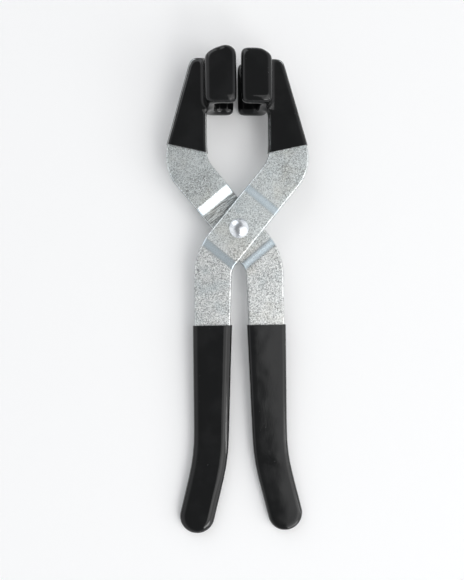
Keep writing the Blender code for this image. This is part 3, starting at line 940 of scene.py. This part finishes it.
@dataclass
class Dip:
    """The vinyl on one arm: a sleeve on the handle, and a coat over the jaw and the plate's end."""

    arm: Arm
    thickness: float = 1.0 * MM
    rounding: float = 2.2 * MM
    shoulder: float = 4.6 * MM
    swell: float = 0.45 * MM
    fillet: float = 3.0 * MM
    sink: float = 0.05 * MM
    grip_mouth: float = 51.0 * MM
    coat_mouth: Step = (16.1 * MM, 40.0 * MM)
    coat_slant: float = math.radians(12.0)
    voxel: float = 0.36 * MM
    plump: float = 0.35 * MM
    grip_softness: int = 10
    jaw_softness: int = 70
    bead: Vector = field(default_factory=lambda: Vector((4.4, 2.6, 3.4)) * MM)
    bead_tuck: float = 0.9
    bead_rise: Step = (-1.6 * MM, 0.5 * MM)  # past the channel's end, on the front arm and on the back arm
    trimmer_half: float = 60 * MM
    trimmer_depth: float = 24 * MM
    ripple: float = 0.12 * MM
    ripple_size: float = 16.0 * MM

    def skin(self) -> bmesh.types.BMesh:
        """The outside of a coat on the plate."""
        half = self.arm.steel / 2 + self.thickness
        return Draft.slab(self.arm.outline(), Draft.edges(half, self.thickness, self.rounding))

    def cushion(self) -> bmesh.types.BMesh:
        """The outside of a sleeve, with its front face swelling in from soft shoulders."""
        half = self.arm.steel / 2 + self.thickness
        under = Draft.edges(half, self.thickness, self.rounding)[: Draft.EDGE_STEPS + 1]
        turns = [i / Draft.DOME_STEPS * math.pi / 2 for i in range(1, Draft.DOME_STEPS + 1)]
        wall, wide = self.thickness - self.shoulder, self.shoulder
        base, tall = half - self.rounding, self.rounding + self.swell
        over = [(wall + wide * math.cos(a), base + tall * math.sin(a)) for a in turns]
        return Draft.slab(self.arm.outline(), under + over)

    def room(self) -> bmesh.types.BMesh:
        """The space that the plate needs inside a coat."""
        seam, half = self.arm.seam, self.arm.steel / 2
        return Draft.slab(self.arm.outline(), [(seam, -half - seam), (seam, half + seam)])

    def trimmer(self, mouth: Vector, outward: Vector) -> bmesh.types.BMesh:
        """A block whose face cuts a coat off at its mouth.

        Args:
            mouth: A point on the mouth.
            outward: The way out of the mouth.

        Returns:
            The block.
        """
        outline = Draft.rounded(Draft.square(self.trimmer_half, MM))
        block = Draft.slab(outline, [(0, 0), (0, self.trimmer_depth)])
        turn = outward.to_track_quat("Z", "Y").to_matrix()
        bmesh.ops.rotate(block, verts=block.verts, matrix=turn)
        bmesh.ops.translate(block, verts=block.verts, vec=mouth)
        return block

    def open_mouth(self, body: Body, mouth: Vector, outward: Vector) -> None:
        """Cuts a coat off at its mouth and makes room for the plate in it.

        Args:
            body: The softened coat.
            mouth: A point on the mouth.
            outward: The way out of the mouth.
        """
        body.cut(self.trimmer(mouth, outward))
        body.cut(Draft.cut_off(self.room(), mouth + outward * Draft.OVERRUN, outward))

    def fillet_corners(self) -> list[Corner]:
        """The vinyl gathered between the coated web and plate, in X and Z."""
        channel, leg = self.arm.channel, self.fillet
        face = channel.face + channel.coat - self.sink
        low = self.arm.steel / 2 + self.thickness - self.sink
        soft, inner = self.arm.seam, channel.face
        upper = [
            (face + 2 * leg, low - soft, soft / 4),
            (face + leg, low, soft),
            (face, low, leg * 0.9),
            (face, low + leg, soft),
            (inner, low + leg + soft, soft),
        ]
        return Draft.mirrored(upper)

    def joint_corners(self) -> list[Corner]:
        """The space that plate, weld beads and web need inside the coat, in X and Z."""
        channel, grow = self.arm.channel, self.arm.seam
        face, low, leg = channel.face, self.arm.steel / 2, channel.weld_leg + 2 * grow
        inner = face - channel.wall / 2
        upper = [(face + leg, low, grow), (face, low + leg, grow), (inner, low + leg, grow)]
        return Draft.mirrored(upper)

    def soften(self, body: Body, dip: DipTree, look: bpy.types.Material, softness: float) -> None:
        """Melts the blocked-out shapes into one smooth skin.

        Args:
            body: The blocked-out coat.
            dip: The tree that softens it.
            look: The vinyl.
            softness: How many rounds of smoothing it gets.
        """
        voxel = self.voxel * 1
        body.modify("REMESH", mode="VOXEL", voxel_size=voxel, adaptivity=0.0)
        rounds = softness / 1
        dip.apply(body, Softness=rounds, Ripple=self.ripple, Ripple_size=self.ripple_size, Finish=look)
        body.settle()

    def grip(self, name: str, dip: DipTree, look: bpy.types.Material) -> Body:
        """Builds the sleeve on the handle.

        Args:
            name: The piece's name.
            dip: The tree that softens a coat.
            look: The vinyl.

        Returns:
            The sleeve.
        """
        mouth, up = Vector((0, -self.grip_mouth, 0)), Vector((0, 1, 0))
        body = Body(name, Draft.cut_off(self.cushion(), mouth + up * Draft.OVERRUN, up))
        self.soften(body, dip, look, self.grip_softness)
        self.open_mouth(body, mouth, up)
        body.smooth(50)
        return body

    def drain_bead(self, side: Side) -> bmesh.types.BMesh:
        """The vinyl that gathered on the last corner to leave the dip.

        Args:
            side: The arm, which sets how far the bead ran and the leg that it hangs on.

        Returns:
            The bead, as a ball to be melted into the coat.
        """
        channel = self.arm.channel
        up, rise = (1, self.bead_rise[0]) if side is Side.FRONT else (-1, self.bead_rise[1])
        ball = bmesh.new()
        bmesh.ops.create_uvsphere(ball, u_segments=32, v_segments=20, radius=1.0)
        bmesh.ops.scale(ball, verts=ball.verts, vec=self.bead)
        tip = channel.tip_gap / 2 + channel.coat
        leg = channel.depth / 2 - channel.wall / 2
        where = Vector((tip + self.bead.x * self.bead_tuck, channel.end + rise, up * leg))
        bmesh.ops.translate(ball, verts=ball.verts, vec=where)
        return ball

    def jaw(self, name: str, side: Side, dip: DipTree, look: bpy.types.Material) -> Body:
        """Builds the coat over the channel and the plate's end.

        Args:
            name: The piece's name.
            side: The arm that it belongs to.
            dip: The tree that softens a coat.
            look: The vinyl.

        Returns:
            The coat.
        """
        channel, seam = self.arm.channel, self.arm.seam
        half, middle = channel.length / 2, channel.middle
        mouth = Vector((*self.coat_mouth, 0))
        down = Vector((math.sin(self.coat_slant), -math.cos(self.coat_slant), 0))
        section = Draft.rounded(channel.corners())
        reach = half + channel.coat - self.rounding
        weld = channel.weld_length / 2 + seam
        coat = channel.coat + self.plump
        skin = Draft.slab(section, Draft.edges(half + coat, coat, self.rounding + self.plump))
        fillet = Draft.slab(Draft.rounded(self.fillet_corners()), [(0, -reach), (0, reach)])
        body = Body(
            name,
            Draft.cut_off(self.skin(), mouth + down * Draft.OVERRUN, down),
            channel.cut_corner(Draft.along_y(skin, middle), coat),
            Draft.along_y(fillet, middle),
            self.drain_bead(side),
        )
        self.soften(body, dip, look, self.jaw_softness)
        self.open_mouth(body, mouth, down)
        room = Draft.slab(section, [(seam, -half - seam), (seam, half + seam)])
        body.cut(channel.cut_corner(Draft.along_y(room, middle), seam))
        joint = Draft.rounded(self.joint_corners())
        body.cut(Draft.along_y(Draft.slab(joint, [(0, -weld), (0, weld)]), middle))
        body.smooth(50)
        return body


@dataclass
class Rivet:
    """The rivet: a domed head in front, and a tail peened over the washer behind."""

    arm: Arm
    radius: float = 3.0 * MM
    head_radius: float = 5.2 * MM
    head_height: float = 2.7 * MM
    tail_radius: float = 4.6 * MM
    tail_height: float = 1.8 * MM
    tail_flat: float = 2.4 * MM
    washer: float = 1.0 * MM
    rim: float = 0.35 * MM

    def dome(self, radius: float, height: float, base: float, flat: float) -> list[Step]:
        """A domed head's profile, rim first.

        Args:
            radius: The head's radius.
            height: Its height.
            base: The plane that it stands on.
            flat: The radius of a flat on its top.

        Returns:
            (radius, height) points.
        """
        rise = height - self.rim
        sphere = max((radius**2 - flat**2 + rise**2) / (2 * rise), radius)
        centre = height - math.sqrt(sphere**2 - flat**2)
        first, last = math.acos(radius / sphere), math.acos(flat / sphere)
        angles = [first + (last - first) * i / Draft.DOME_STEPS for i in range(Draft.DOME_STEPS + 1)]
        arc = [(sphere * math.cos(a), base + centre + sphere * math.sin(a)) for a in angles]
        return [(radius - self.rim / 2, base), (radius, base + self.rim / 2), *arc]

    def build(self, name: str) -> Body:
        """Builds the rivet.

        Args:
            name: The piece's name.

        Returns:
            The rivet.
        """
        head_base = self.arm.steel + self.arm.plate_gap / 2 + self.arm.seam
        tail_base = head_base + self.washer + self.arm.seam
        head = self.dome(self.head_radius, self.head_height, head_base, 0.0)
        tail = self.dome(self.tail_radius, self.tail_height, tail_base, self.tail_flat)
        profile = [(0.0, -tail[-1][1])] + [(radius, -height) for radius, height in reversed(tail)]
        profile += [(self.radius, -tail_base), (self.radius, head_base)] + head[:-1]
        profile += [(0.0, head[-1][1])]
        body = Body(name, Draft.turned(profile))
        body.smooth(35)
        return body


# ---- the studio -----------------------------------------------------------------------------------


@dataclass(frozen=True)
class Lamp:
    """A soft rectangular lamp, aimed at the pliers unless it has a spin: then it faces straight down."""

    name: str
    where: tuple[float, float, float]
    sides: Step
    watts: float
    colour: tuple[float, float, float] = (1.0, 1.0, 1.0)
    spin: float | None = None

    def build(self) -> None:
        """Makes the lamp."""
        data = bpy.data.lights.new(self.name, "AREA")
        data.shape, (data.size, data.size_y) = "RECTANGLE", self.sides
        data.energy, data.color = self.watts, self.colour
        where = Vector(self.where)
        aimed = where.to_track_quat("Z", "Y").to_matrix()
        turn = aimed if self.spin is None else Matrix.Rotation(self.spin, 3, "Z")
        link(self.name, data).matrix_world = Matrix.Translation(where) @ turn.to_4x4()


@dataclass
class Studio:
    """Pale floor, soft light from the upper right, and a camera that looks down almost squarely."""

    place: Matrix
    camera_foot: Vector = field(default_factory=lambda: Vector((-26.6, -32.4)) * MM)
    aim: Vector = field(default_factory=lambda: Vector((-3.8, -32.4)) * MM)
    height: float = 325 * MM
    view_height: float = 307.4 * MM
    roll: float = math.radians(-0.6)
    sensor: float = 36.0
    clip: Step = (0.01, 20.0)
    floor_side: float = 4.0
    air: Colour = (0.97, 0.98, 1.0, 1.0)
    wall: float = 0.95
    ceiling: float = 0.3
    horizon: Step = (-0.1, 0.45)
    room: float = 0.5
    lamps: tuple[Lamp, ...] = (
        Lamp("key", (1.95, -1.05, 1.75), (3.2, 2.8), 28.0, (1.0, 0.99, 0.97)),
        Lamp("panel", (1.03, -0.65, 2.3), (1.4, 1.9), 10.0, spin=math.radians(8)),
        Lamp("fill", (-1.1, 1.9, 1.35), (1.8, 1.6), 14.0, (0.94, 0.97, 1.0)),
        Lamp("window", (0.75, -1.5, 1.2), (0.7, 0.5), 6.5),
        Lamp("strip", (2.3, -0.95, 1.45), (0.22, 1.6), 6.0),
    )

    def camera(self) -> None:
        """Makes the camera."""
        data = bpy.data.cameras.new("view")
        made = link("view", data)
        eye = self.place @ Vector((*self.camera_foot, self.height))
        target = self.place @ Vector((*self.aim, 0))
        back = (eye - target).normalized()
        spin = Matrix.Rotation(self.roll, 3, self.place.to_3x3().col[2])
        up = spin @ self.place.to_3x3().col[1]
        right = up.cross(back).normalized()
        turn = Matrix((right, back.cross(right), back)).transposed()
        made.matrix_world = Matrix.Translation(eye) @ turn.to_4x4()
        data.sensor_width = self.sensor
        data.lens = self.sensor * (eye - target).length / self.view_height
        data.clip_start, data.clip_end = self.clip
        bpy.context.scene.camera = made

    def world(self) -> None:
        """Makes the even light of a pale room, which the camera sees as near white."""
        world = bpy.data.worlds.new("room")
        world.use_nodes = True
        bpy.context.scene.world = world
        tree = Tree(world.node_tree)
        ground = world.node_tree.nodes["Background"]
        seen = tree.node("ShaderNodeLightPath").outputs
        way = tree.node("ShaderNodeTexCoord").outputs["Generated"]
        parts = tree.node("ShaderNodeSeparateXYZ", {0: way}).outputs
        steep = tree.math("SUBTRACT", parts[2], tree.math("ABSOLUTE", parts[0]))
        walls = tree.spread(steep, *self.horizon, self.wall, self.ceiling)
        mirrored = tree.math("MAXIMUM", seen["Is Glossy Ray"], seen["Is Transmission Ray"])
        strength = tree.math("MULTIPLY", mirrored, tree.math("SUBTRACT", walls, self.room))
        strength = tree.math("ADD", strength, self.room)
        backdrop = tree.math("MULTIPLY", seen["Is Camera Ray"], self.wall)
        tree.feed(ground.inputs["Color"], self.air)
        tree.feed(ground.inputs["Strength"], tree.math("MAXIMUM", strength, backdrop))

    def floor(self) -> None:
        """Makes the floor that the pliers lie on."""
        half = self.floor_side / 2
        sheet = bmesh.new()
        around = ((-half, -half), (half, -half), (half, half), (-half, half))
        sheet.faces.new([sheet.verts.new((x, y, 0)) for x, y in around])
        body = Body("floor", sheet)
        body.object.data.materials.append(PaleFloor().build())

    def build(self) -> None:
        """Makes the floor, world, lamps and camera."""
        self.floor()
        self.world()
        for lamp in self.lamps:
            lamp.build()
        self.camera()
        bpy.context.scene.view_settings.view_transform = "Standard"


# ---- putting it together --------------------------------------------------------------------------


def pliers_frame(frame: dict) -> Matrix:
    """The pliers' own frame, with its origin on the rivet, from the record's joint.


    Returns:
        The frame's matrix.
    """
    joint = frame["joints"][0]
    up = -Vector(joint["axis"]).normalized()
    across = Vector((1, 0, 0))
    turn = Matrix((across, up.cross(across), up)).transposed()
    return Matrix.Translation(Vector(joint["pos_m"])) @ turn.to_4x4()


def main(frame: dict) -> None:
    """Builds every piece and the studio.
    """
    logging.basicConfig(level=logging.INFO, format="%(name)s: %(message)s")
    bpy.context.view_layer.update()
    place = pliers_frame(frame)
    arm = Arm()
    dip = Dip(arm)
    joggle_tree, dip_tree = JoggleTree(), DipTree()
    zinc, vinyl, bright = ZincPlate().build(), DippedVinyl().build(), BrightSteel().build()
    raw = BrightSteel(
        dull=(0.2, 0.2, 0.21, 1), low_rough=0.35, high_rough=0.6, name="plain_channel_steel"
    ).build()
    names = {Side.FRONT: ("front", "right", "left"), Side.BACK: ("back", "left", "right")}
    for side, (arm_name, jaw_name, grip_name) in names.items():
        plate = arm.build(f"{arm_name}_arm_plate", float(side is Side.BACK), joggle_tree, zinc)
        plate.present(place, side, Slot.ZINC, f"{arm_name}_arm", zinc)
        coat = dip.jaw(f"{jaw_name}_jaw_dip", side, dip_tree, vinyl)
        coat.present(place, side, Slot.VINYL, f"{jaw_name}_jaw_coat", vinyl)
        sleeve = dip.grip(f"{grip_name}_grip_dip", dip_tree, vinyl)
        sleeve.present(place, side, Slot.VINYL, f"{grip_name}_handle_grip", vinyl)
    rivet = Rivet(arm).build("domed_rivet")
    rivet.present(place, Side.FRONT, Slot.RIVET, "pivot_rivet", bright)
    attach(rivet.object, Side.BACK.value)
    LOG.info("%s: moved to %s, its peened side", rivet.object.name, Side.BACK.value)
    kept = {"rivet_washer": bright, "left_jaw_channel": raw, "right_jaw_channel": raw}
    for node, look in kept.items():
        frame["nodes"][node].data.materials.clear()
        frame["nodes"][node].data.materials.append(look)
        LOG.info("%s: kept as modelled", node)
    Studio(place).build()


if __name__ == "__main__":
    main(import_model())
